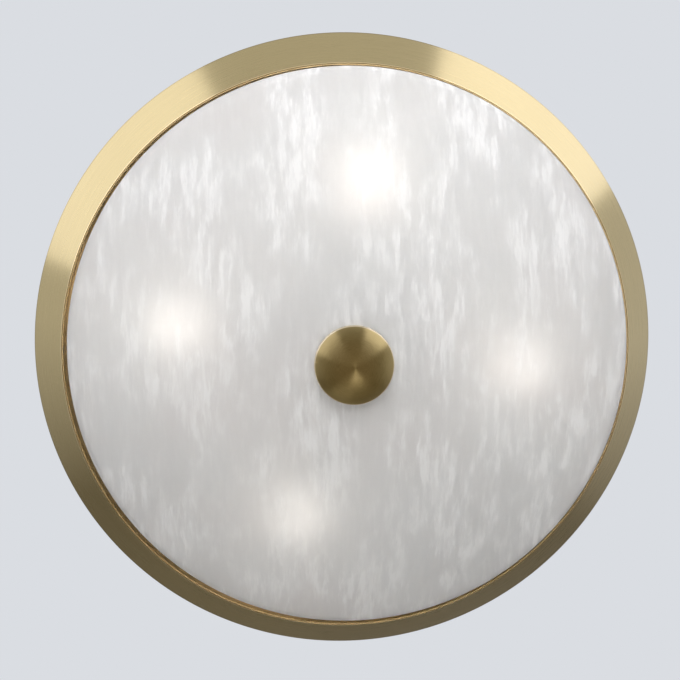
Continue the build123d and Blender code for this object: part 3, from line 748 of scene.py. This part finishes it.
settle(threadedTube("middleRod", rodPlan), zinc, "base", "middle_rod")
for name, node, part in (("rodTopNut", "rod_top_nut", "topNut"), ("rodLockNut", "rod_lock_nut", "lockNut"),
                         ("stopNut", "stop_nut", "stopNut")):
    settle(skin(name, hexNutGrid(nutPlan, *stackPlan[part]), sharp=25), zinc, "base", node)
settle(flatRing("rodLockWasher", washerPlan["lock"], washerPlan["hole"], *stackPlan["lockWasher"], 0.25),
       zinc, "base", "rod_lock_washer")
settle(flatRing("stopWasher", washerPlan["stop"], washerPlan["hole"], *stackPlan["stopWasher"], 0.3),
       zinc, "base", "stop_washer")
settle(flatRing("stopPad", washerPlan["pad"], washerPlan["hole"], *stackPlan["stopPad"], 0.4),
       rubber, "base", "stop_pad")
print("rod, nuts and washers made")


# Screws
screwPlan = {"head": 3.6, "headHeight": 2.2, "shank": 1.9, "pitch": 0.7, "groove": 0.3}
rimFixing = {"circle": 215.0, "first": 60.0, "count": 3, "headTop": -14.8, "length": 4.8,
             "nut": (-13.0, -10.0)}
earFixing = {"circle": 23.0, "turns": (148.0, 328.0), "headTop": -11.5, "length": 7.5,
             "pillar": 4.0, "bore": 2.0, "heights": (-10.0, -1.0)}


def screwGrid(plan, length, cross=True, columns=64):
    # Head down at height 0, shank up. The head's face is an ellipse's half: height = rise * sqrt(1 -
    # (r / R)^2), dug out where the point lies in the slot or cross. The shank is threaded as the rod.
    headRadius, headHeight, groove = plan["head"], plan["headHeight"], plan["groove"]
    angle = around(columns)[None, :]
    radius = (headRadius * np.sin(np.linspace(0, np.pi / 2, 20)))[:, None]
    rise = headHeight * 0.62
    face = -(headHeight - rise) - rise * np.sqrt(np.clip(1 - (radius / headRadius) ** 2, 0, 1)) + 0 * angle
    x, y = radius * np.cos(angle), radius * np.sin(angle)
    reach, half, soft = headRadius * (0.62 if cross else 1.2), headRadius * 0.13, headRadius * 0.1

    def inSlot(a, b):
        return np.clip((half + soft - np.abs(a)) / soft, 0, 1) * np.clip((reach - np.abs(b)) / soft, 0, 1)

    dug = np.maximum(inSlot(x, y), inSlot(y, x)) if cross else inSlot(x, y)
    face = np.minimum(face + dug * headHeight * 0.5, 0 * face - 0.05)
    head = np.stack([x, y, face], axis=-1)
    neck = spun(np.array([(headRadius, -0.001), (plan["shank"], 0.0)]), columns)
    count = max(int(length / plan["pitch"] * 7), 4)
    height = np.linspace(0.01, length, count)[:, None]
    taper = np.clip(1 - (length - height) / groove, 0, 1)
    shank = plan["shank"] - groove * np.maximum(threadWave(height, plan["pitch"], angle), taper)
    tip = spun(np.array([(0.0, length)]), columns)
    return np.concatenate([head, neck, rings(shank, height, angle), tip])


def screwSet(name, places, plan, cross=True):
    # one screw at each place, each with its slot or cross turned a little further
    grid = screwGrid(screwPlan, plan["length"], cross)
    made = []
    for number, (x, y) in enumerate(places):
        screw = shifted(swung(grid, 0.7 * number + 0.4), x, y, plan["headTop"])
        made.append(skin(name + str(number), screw, sharp=40))
    return joined(name, made)


rimPlaces = [onCircle(rimFixing["circle"], rimFixing["first"] + 360.0 / rimFixing["count"] * n)
             for n in range(rimFixing["count"])]
earPlaces = [onCircle(earFixing["circle"], turn) for turn in earFixing["turns"]]
settle(screwSet("rimScrews", rimPlaces, rimFixing), zinc, "base", "rim_screws")
settle(screwSet("pillarScrews", earPlaces, earFixing), zinc, "base", "pillar_screws")
rimNut = hexNutGrid(rimNutPlan, *rimFixing["nut"], columns=72)
rimNuts = [skin("rimNut" + str(n), shifted(rimNut, x, y), sharp=25) for n, (x, y) in enumerate(rimPlaces)]
settle(joined("rimNuts", rimNuts), zinc, "base", "rim_nuts")
pillars = [flatRing("pillar" + str(n), earFixing["pillar"], earFixing["bore"], *earFixing["heights"], 0.3,
                    x, y, 48) for n, (x, y) in enumerate(earPlaces)]
settle(joined("pillars", pillars), zinc, "base", "pillars")
settle(softenedCopy("lampSpider", "lamp_spider", 0.25), zinc, "base", "lamp_spider")
print("spider, pillars and screws made")


# Lampholders, lamps and what is in them: made once along +X and turned to the four directions
holderPlan = {
    "stem": 4.9, "stemLength": 7.0, "back": 12.5, "backEdge": 0.3, "backLength": 20.0, "shoulder": 2.0,
    "front": 14.2, "mouth": 15.0, "mouthCone": 3.2, "mouthRoll": 2.2, "length": 47.5,
    "ribsFrom": 5.5, "ribsTo": 8.0, "ribPitch": 3.2, "ribDepth": 0.45,
    "socket": 7.9, "socketDepth": 23.5, "floorThick": 3.0, "wire": 3.0, "wireDepth": 12.0, "window": 6.0,
    "nut": (-5.0, -1.5),
}
lampPlan = {
    "floor": 24.0, "shell": 7.8, "shellWall": 0.35, "shellEnd": 44.0, "cap": 6.9, "capStart": 24.65,
    "capEnd": 47.8, "contact": 2.4, "pitch": 2.82, "threadDepth": 0.45, "globe": 22.5, "neck": 9.2,
    "middle": 77.5, "wall": 1.0, "flowWider": 2.6, "flowOut": 7.0, "flowIn": 6.0,
}


def lampHolder(plan):
    # a turned body with a rolled mouth, a ribbed front and a socket, cut by two windows at its terminals
    length, floor = plan["length"], plan["length"] - plan["socketDepth"]
    front, dip = plan["front"], plan["front"] - plan["ribDepth"]
    ribs = []
    for start in np.arange(plan["backLength"] + plan["ribsFrom"], length - plan["ribsTo"], plan["ribPitch"]):
        ribs += [(front, start), (dip, start + 0.5), (dip, start + 1.1), (front, start + 1.6)]
    corners = [(plan["stem"], -plan["stemLength"]), (plan["stem"], 0), (plan["back"], plan["backEdge"]),
               (plan["back"], plan["backLength"]), (front, plan["backLength"] + plan["shoulder"])] + ribs
    corners += [(front, length - plan["mouthCone"]), (plan["mouth"], length - plan["mouthRoll"]),
                (plan["mouth"], length), (plan["socket"], length), (plan["socket"], floor),
                (plan["wire"], floor - 0.01), (plan["wire"], plan["wireDepth"]),
                (plan["wire"], -plan["stemLength"])]
    radii = [0.3, 0.2, 0.8, 0.8, 0.5] + [0.12] * len(ribs) + [0.4, 0.7, 0.8, 0.6, 0.2, 0, 0, 0.3]
    body = skin("lampHolder", alongX(spun(roundedCorners(corners, radii, 3), 96)), sharp=30)
    # the socket and the wire hole meet in the turned body, so the floor between them is put in as a disc
    disc = flatRing("socketFloor", plan["socket"] - 0.02, 0.0, floor - plan["floorThick"], floor, 0.0,
                    columns=64)
    movePoints(disc.data, lambda points: alongX(points / mm) * mm)
    cutters = []
    half = plan["window"] / 2
    for side in (-1, 1):
        square = roundedCorners([(-half, -half), (half, -half), (half, half), (-half, half)], 0.6, 3)
        square = square + (armFace + plan["backLength"] / 2, side * plan["back"])
        cutters.append(prism("windowCutter", square, lampDown - half, lampDown + half))
    cutBy(body, cutters, sharp=30)
    return joined("lampHolder", [body, disc])


def threadedCup(name, stations, plan, columns=64):
    # Turned rows (distance, radius, share of thread), with the same helical wave on inside and
    # outside: radius - share * depth * wave.
    rows = np.array(stations, float)
    angle = around(columns)[None, :]
    distance, radius, share = rows[:, :1], rows[:, 1:2], rows[:, 2:]
    radius = radius - share * plan["threadDepth"] * threadWave(distance, plan["pitch"], angle)
    return skin(name, alongX(rings(radius, distance, angle)), sharp=50)


def screwShell(plan):
    # a cup of thin brass: up the outside, back down the inside, flat floor
    start, end, shell = plan["floor"], plan["shellEnd"], plan["shell"]
    foot = [(start, 0, 0), (start, shell - 0.6, 0), (start + 0.4, shell, 0)]
    outside = [(d, shell, 1) for d in np.linspace(start + 1.0, end - 0.8, 90)] + [(end, shell, 0)]
    inside = [(d, r - plan["shellWall"], s) for d, r, s in outside[::-1]]
    floor = start + plan["shellWall"]
    inside += [(floor, shell - 1.0, 0), (floor, 0, 0)]
    return threadedCup("screwShell", foot + outside + inside, plan)


def lampCap(plan):
    # contact, glass insulator and screw sleeve with a collar at the globe
    start, end, cap, contact = plan["capStart"], plan["capEnd"], plan["cap"], plan["contact"]
    nose = [(start, 0, 0), (start, contact - 0.5, 0), (start + 0.5, contact, 0), (start + 1.2, contact, 0),
            (start + 1.4, contact + 0.6, 0), (start + 2.6, cap - 1.4, 0), (start + 3.3, cap - 0.6, 0)]
    sleeve = [(d, cap, 1) for d in np.linspace(start + 3.9, end - 3.4, 96)]
    collar = [(end - 2.6, cap, 0), (end - 1.4, cap, 0), (end - 0.5, cap + 0.4, 0), (end, cap + 0.4, 0),
              (end, 0, 0)]
    return threadedCup("lampCap", nose + sleeve + collar, plan)


def lampGlobe(plan):
    # A ball that flows into its neck. From the end of its arc, P, a cubic curve leaves along the arc,
    # pulled to Q, and comes in along the axis, pulled by R, to the neck's end, S:
    # (1 - t)^3 P + 3 (1 - t)^2 t Q + 3 (1 - t) t^2 R + t^3 S.
    def side(ball, neck, start):
        swing = np.linspace(np.pi, math.asin((neck + plan["flowWider"]) / ball), 60)
        arc = np.column_stack([ball * np.sin(swing), plan["middle"] - ball * np.cos(swing)])
        arc[0, 0] = 0.0
        t = np.linspace(0, 1, 14)[1:, None]
        last, before = arc[-1], arc[-2]
        run = (last - before) / np.linalg.norm(last - before) * plan["flowOut"]
        end = np.array([neck, start])
        pull = end + (0.0, plan["flowIn"])
        curve = ((1 - t) ** 3 * last + 3 * (1 - t) ** 2 * t * (last + run)
                 + 3 * (1 - t) * t ** 2 * pull + t ** 3 * end)
        return np.concatenate([arc, curve])

    outside = side(plan["globe"], plan["neck"], plan["capEnd"] + 0.02)
    inside = side(plan["globe"] - plan["wall"], plan["neck"] - plan["wall"], plan["capEnd"] + plan["wall"])
    profile = np.concatenate([outside, [(0.0, outside[-1, 1]), (0.0, inside[-1, 1])], inside[::-1]])
    return skin("lampGlobe", alongX(spun(profile, 96)), sharp=50)


holder = lampHolder(holderPlan)
shell = screwShell(lampPlan)
cap = lampCap(lampPlan)
globe = lampGlobe(lampPlan)
nut = skin("holderNut", alongX(hexNutGrid(holderNutPlan, *holderPlan["nut"])), sharp=25)
holderNuts = []
for number, turn in enumerate(lampTurns, start=1):
    count = str(number)
    lamp = "lamp_" + count
    settle(turnedCopy(holder, "lampHolder" + count, turn), holderPlastic, "base", "lampholder_" + count)
    settle(turnedCopy(shell, "screwShell" + count, turn), smallBrass, "base", "screw_shell_" + count)
    settle(turnedCopy(cap, "lampCap" + count, turn), capMetal, lamp, "lamp_cap_" + count)
    settle(turnedCopy(globe, "lampGlobe" + count, turn), opal, lamp, "lamp_globe_" + count)
    holderNuts.append(turnedCopy(nut, "holderNut" + count, turn))
settle(joined("holderNuts", holderNuts), zinc, "base", "holder_nuts")
for pattern in (holder, shell, cap, globe, nut):
    bpy.data.objects.remove(pattern)
print("holders and lamps made")


# Terminal block, earth screw, cable bush and leads
blockPlan = {"turn": 56.0, "reach": 62.0, "poles": 4, "pitch": 10.0, "depth": 16.0, "low": -18.0,
             "wireDown": -13.0, "into": 4.0, "run": 14.0, "screwShare": 0.25, "screwLength": 0.4}
terminalScrewPlan = dict(screwPlan, head=1.6, headHeight=1.0, shank=1.0)
fixingScrewPlan = dict(screwPlan, head=1.5, headHeight=1.0, shank=1.4)
fixingPlan = {"headTop": -10.0, "length": 9.9}
earthPlan = {"headTop": -1.8, "length": 1.8, "washer": 5.5, "hole": 2.1, "heights": (-1.8, -1.0)}
bushPlan = {"bore": 5.0, "spout": 7.0, "flange": 10.0, "neck": 7.9, "low": -6.0, "spoutTop": -3.0,
            "flangeTop": -1.0}
leadPlan = {"radius": 1.5, "start": 55.5, "run": 22.0}
# for each lead its lamp's direction, its pole and the points that it is led past
leadRoutes = [(5.0, 0, [(22, 14, -22)]), (107.0, 3, [(4, 29, -22)]),
              (189.0, 2, [(-14, 10, -24), (4, 27, -14)]), (277.0, 1, [(13, -12, -26), (20, 12, -18)])]
blockOut = np.array(onCircle(1.0, blockPlan["turn"]))
blockAlong = np.array([-blockOut[1], blockOut[0]])


def poleMiddle(plan, pole):
    offset = (pole - (plan["poles"] - 1) / 2) * plan["pitch"]
    return blockOut * plan["reach"] + blockAlong * offset


def terminalScrews(plan):
    grid = screwGrid(terminalScrewPlan, plan["screwLength"], cross=False, columns=40)
    made = []
    for pole in range(plan["poles"]):
        for side in (-plan["screwShare"], plan["screwShare"]):
            x, y = poleMiddle(plan, pole) + blockOut * side * plan["depth"]
            screw = shifted(swung(grid, 0.9 * pole + 2.0 * side), x, y, plan["low"])
            made.append(skin("terminalScrew" + str(len(made)), screw, sharp=40))
    return joined("terminalScrews", made)


def lampLeads(plan, block):
    # each lead is one smooth curve: straight out of its holder's stem, past the rod and into the block
    curve = bpy.data.curves.new("lampLeads", "CURVE")
    curve.dimensions = "3D"
    curve.bevel_depth = plan["radius"] * mm
    curve.bevel_resolution = 4
    curve.resolution_u = 10
    curve.use_fill_caps = True
    for turn, pole, middle in leadRoutes:
        out = np.array(onCircle(1.0, turn))
        face = poleMiddle(block, pole) - blockOut * block["depth"] / 2
        points = [(*out * plan["start"], lampDown), (*out * (plan["start"] - plan["run"]), lampDown)] + middle
        points += [(*(face - blockOut * block["run"]), block["wireDown"]),
                   (*(face + blockOut * block["into"]), block["wireDown"])]
        spline = curve.splines.new("NURBS")
        spline.points.add(len(points) - 1)
        for knot, (x, y, z) in zip(spline.points, points):
            knot.co = (x * mm, y * mm, z * mm, 1.0)
        spline.order_u = 3
        spline.use_endpoint_u = True
    return newObject("lampLeads", curve)


def cableBush(plan, x, y):
    # neck in the pan, flange under it and spout, with softened edges and a countersunk bore
    bore, spout, flange, neck = plan["bore"], plan["spout"], plan["flange"], plan["neck"]
    low, spoutTop, flangeTop = plan["low"], plan["spoutTop"], plan["flangeTop"]
    corners = [(bore, 0), (bore, low), (spout, low), (spout, spoutTop), (flange, spoutTop),
               (flange, flangeTop), (neck, flangeTop), (neck, 0)]
    profile = roundedCorners(corners, [0, 0.4, 0.6, 0.4, 0.5, 0.3, 0.1, 0.2])
    return skin("cableBush", shifted(spun(profile, 72), x, y))


settle(terminalScrews(blockPlan), smallBrass, "base", "terminal_screws")
settle(softenedCopy("terminalBlock", "terminal_block", 0.4), blockPlastic, "base", "terminal_block")
fixing = screwGrid(fixingScrewPlan, fixingPlan["length"])
fixing = shifted(fixing, *holePlan["block"][:2], fixingPlan["headTop"])
settle(skin("blockFixingScrew", fixing, sharp=40), zinc, "base", "block_fixing_screw")
earthSpot = holePlan["earth"][:2]
settle(screwSet("earthScrew", [earthSpot], earthPlan, cross=False), smallBrass, "base", "earth_screw")
settle(flatRing("earthWasher", earthPlan["washer"], earthPlan["hole"], *earthPlan["heights"], 0.2,
                *earthSpot, 64), smallBrass, "base", "earth_washer")
settle(cableBush(bushPlan, *holePlan["entry"][:2]), rubber, "base", "cable_bush")
settle(lampLeads(leadPlan, blockPlan), leadSleeve, "base", "lamp_leads")
print("terminals, bush and leads made")


# Camera, lights and the room
viewPlan = {"azimuth": -23.1, "elevation": -81.1, "distance": 1.2226, "lens": 79.53,
            "aim": (-4.3, -4.2, -0.8)}
plainTint = (1.0, 1.0, 1.0)
coolTint = (0.95, 0.985, 1.15)
# A light's turn is counted as in the photograph, from 3 o'clock against the clock, and its lift is
# its angle above the ceiling plane in the model, negative on the room's side.
lightPlan = {
    "keyRight": {"turn": 44.3, "lift": 4.0, "reach": 2.0, "size": (1.6, 2.4), "power": 14.6, "seen": True,
                 "tint": coolTint},
    "keyLeft": {"turn": 143.8, "lift": 4.0, "reach": 2.0, "size": (1.9, 2.4), "power": 14.0, "seen": True,
                "tint": coolTint},
    "topFill": {"turn": 88.0, "lift": -30.0, "reach": 2.6, "size": (3.0, 2.4), "power": 63.0, "seen": False,
                "tint": plainTint},
    "lowSpot": {"turn": -78.0, "lift": -63.0, "reach": 1.9, "size": (0.45, 0.2), "power": 0.9, "seen": True,
                "tint": plainTint},
    "backFill": {"turn": 60.0, "lift": 65.0, "reach": 2.3, "size": (2.0, 2.0), "power": 8.0, "seen": False,
                 "tint": plainTint},
    "lowFill": {"turn": 252.0, "lift": -24.0, "reach": 2.0, "size": (1.1, 0.9), "power": 0.55, "seen": True,
                "tint": plainTint},
}
roomPlan = {
    "seen": (0.701, 0.723, 0.761), "ambient": (0.46, 0.457, 0.45),
    "floor": -2.3, "floorRadius": 3.4, "floorColour": (0.16, 0.135, 0.10), "paleLower": 0.05,
    "wallRadius": 2.7, "wallTop": 2.2, "wallMiddle": 267.5, "wallHalf": 67.5, "wallFade": 18.0,
    "wallColour": (0.102, 0.09, 0.06), "wallThin": 0.075, "thinFrom": 275.0, "thinOver": 55.0,
    "skirtTop": -0.45, "skirtFade": 0.3,
}


def setPlace(made, x, y, z, spot):
    # the object's three axes and its place, which Blender takes column by column
    matrix = np.eye(4)
    matrix[:3] = np.column_stack([x, y, z, spot])
    made.matrix_world = matrix.T.tolist()


def placeCamera(plan):
    a, e = math.radians(plan["azimuth"]), math.radians(plan["elevation"])
    back = np.array([math.sin(a) * math.cos(e), -math.cos(a) * math.cos(e), math.sin(e)])
    right = np.cross((0, -1, 0), back)
    right = right / np.linalg.norm(right)
    camera = newObject("camera", bpy.data.cameras.new("camera"))
    camera.data.lens = plan["lens"]
    camera.data.sensor_width = 36.0
    camera.data.clip_start = 0.01
    setPlace(camera, right, np.cross(back, right), back, np.array(plan["aim"]) * mm + back * plan["distance"])
    bpy.context.scene.camera = camera


def placeSoftbox(name, plan):
    # a soft panel that faces the light, at its turn and lift from the middle of the ceiling pan. The
    # photograph's up is -Y, so its turns run the other way round in the model.
    lift = math.radians(plan["lift"])
    outward = np.append(np.array(onCircle(1.0, -plan["turn"])) * math.cos(lift), math.sin(lift))
    side = np.cross((0, 0, 1), outward)
    side = side / np.linalg.norm(side)
    data = bpy.data.lights.new(name, "AREA")
    data.shape = "RECTANGLE"
    data.size, data.size_y = plan["size"]
    data.energy = plan["power"]
    data.color = plan["tint"]
    panel = newObject(name, data)
    setPlace(panel, side, np.cross(outward, side), outward, outward * plan["reach"])
    panel.visible_camera = False
    panel.visible_glossy = plan["seen"]


def makeWorld(plan):
    # pale for the camera, for metal and for glass, and a little lower where it lights dull surfaces
    world = bpy.data.worlds.new("room")
    bpy.context.scene.world = world
    world.use_nodes = True
    tree = world.node_tree
    path = add(tree, "LightPath", {})
    direct = calc(tree, "MAXIMUM", path.outputs["Is Camera Ray"],
                  calc(tree, "MAXIMUM", path.outputs["Is Glossy Ray"], path.outputs["Is Transmission Ray"]))
    wire(tree, tree.nodes["Background"], {"Color": blendColour(tree, direct, plan["ambient"], plan["seen"])})


def plainStage(name, grid, colour, fade, seen=False):
    # A plain unlit sheet from rows and columns of points in metres: one that the camera sees, or one
    # that only metal shows, as a dark part of the room. It lets the room through where fade is low.
    rows, columns = grid.shape[:2]
    index = np.arange(rows * columns).reshape(rows, columns)
    faces = np.stack([index[:-1, :-1], index[:-1, 1:], index[1:, 1:], index[1:, :-1]], axis=-1)
    mesh = bpy.data.meshes.new(name)
    mesh.from_pydata(grid.reshape(-1, 3).tolist(), [], faces.reshape(-1, 4).tolist())
    mesh.update()
    sheet = newObject(name, mesh)
    mesh.attributes.new("fade", "FLOAT", "POINT").data.foreach_set("value", fade)
    material = bpy.data.materials.new(name)
    material.use_nodes = True
    tree = material.node_tree
    tree.nodes.clear()
    dull = add(tree, "Emission", {"Color": colour + (1.0,), "Strength": 1.0})
    clear = add(tree, "BsdfTransparent", {})
    share = add(tree, "Attribute", {}, attribute_name="fade").outputs["Fac"]
    mixed = add(tree, "MixShader", {0: share, 1: clear.outputs[0], 2: dull.outputs[0]})
    add(tree, "OutputMaterial", {0: mixed.outputs[0]})
    mesh.materials.append(material)
    sheet.visible_camera = seen
    sheet.visible_glossy = not seen
    sheet.visible_diffuse = False
    sheet.visible_transmission = False
    sheet.visible_shadow = False


def floors(plan):
    # two discs far below the light: a dark one that only metal shows and, just under it, the pale one
    # that the camera sees
    reach = np.linspace(0.02, plan["floorRadius"], 12)[:, None]
    floor = rings(reach, plan["floor"] + 0 * reach, np.linspace(0, 2 * np.pi, 65)[None, :])
    solid = np.ones(floor.shape[:2]).ravel()
    plainStage("darkFloor", floor, plan["floorColour"], solid)
    plainStage("paleFloor", shifted(floor, z=-plan["paleLower"]), plan["seen"], solid, seen=True)


def darkWall(plan):
    # A round wall stands behind the photograph's lower side, and a skirt as high as skirtTop runs all
    # round. Each lets the room through over its last stretch, sideways and upward, and the wall a
    # little on its left.
    turn = np.linspace(0, 360, 181)[None, :]
    height = np.concatenate([np.linspace(plan["floor"], plan["skirtTop"], 9),
                             np.linspace(plan["skirtTop"], plan["wallTop"], 12)[1:]])[:, None]
    wall = rings(plan["wallRadius"] + 0 * height, height, -np.radians(turn))
    sideways = np.clip((plan["wallHalf"] + plan["wallFade"] - np.abs(turn - plan["wallMiddle"]))
                       / (2 * plan["wallFade"]), 0, 1)
    leftward = np.clip((plan["thinFrom"] - turn) / plan["thinOver"], 0, 1)
    sideways = sideways * (1 - plan["wallThin"] * leftward)
    upward = np.clip((plan["skirtTop"] - height) / plan["skirtFade"], 0, 1)
    plainStage("wall", wall, plan["wallColour"], np.maximum(sideways, upward).ravel())


placeCamera(viewPlan)
for lightName, light in lightPlan.items():
    placeSoftbox(lightName, light)
makeWorld(roomPlan)
floors(roomPlan)
darkWall(roomPlan)
bpy.context.scene.view_settings.view_transform = "Standard"
print("camera, lights and room placed")
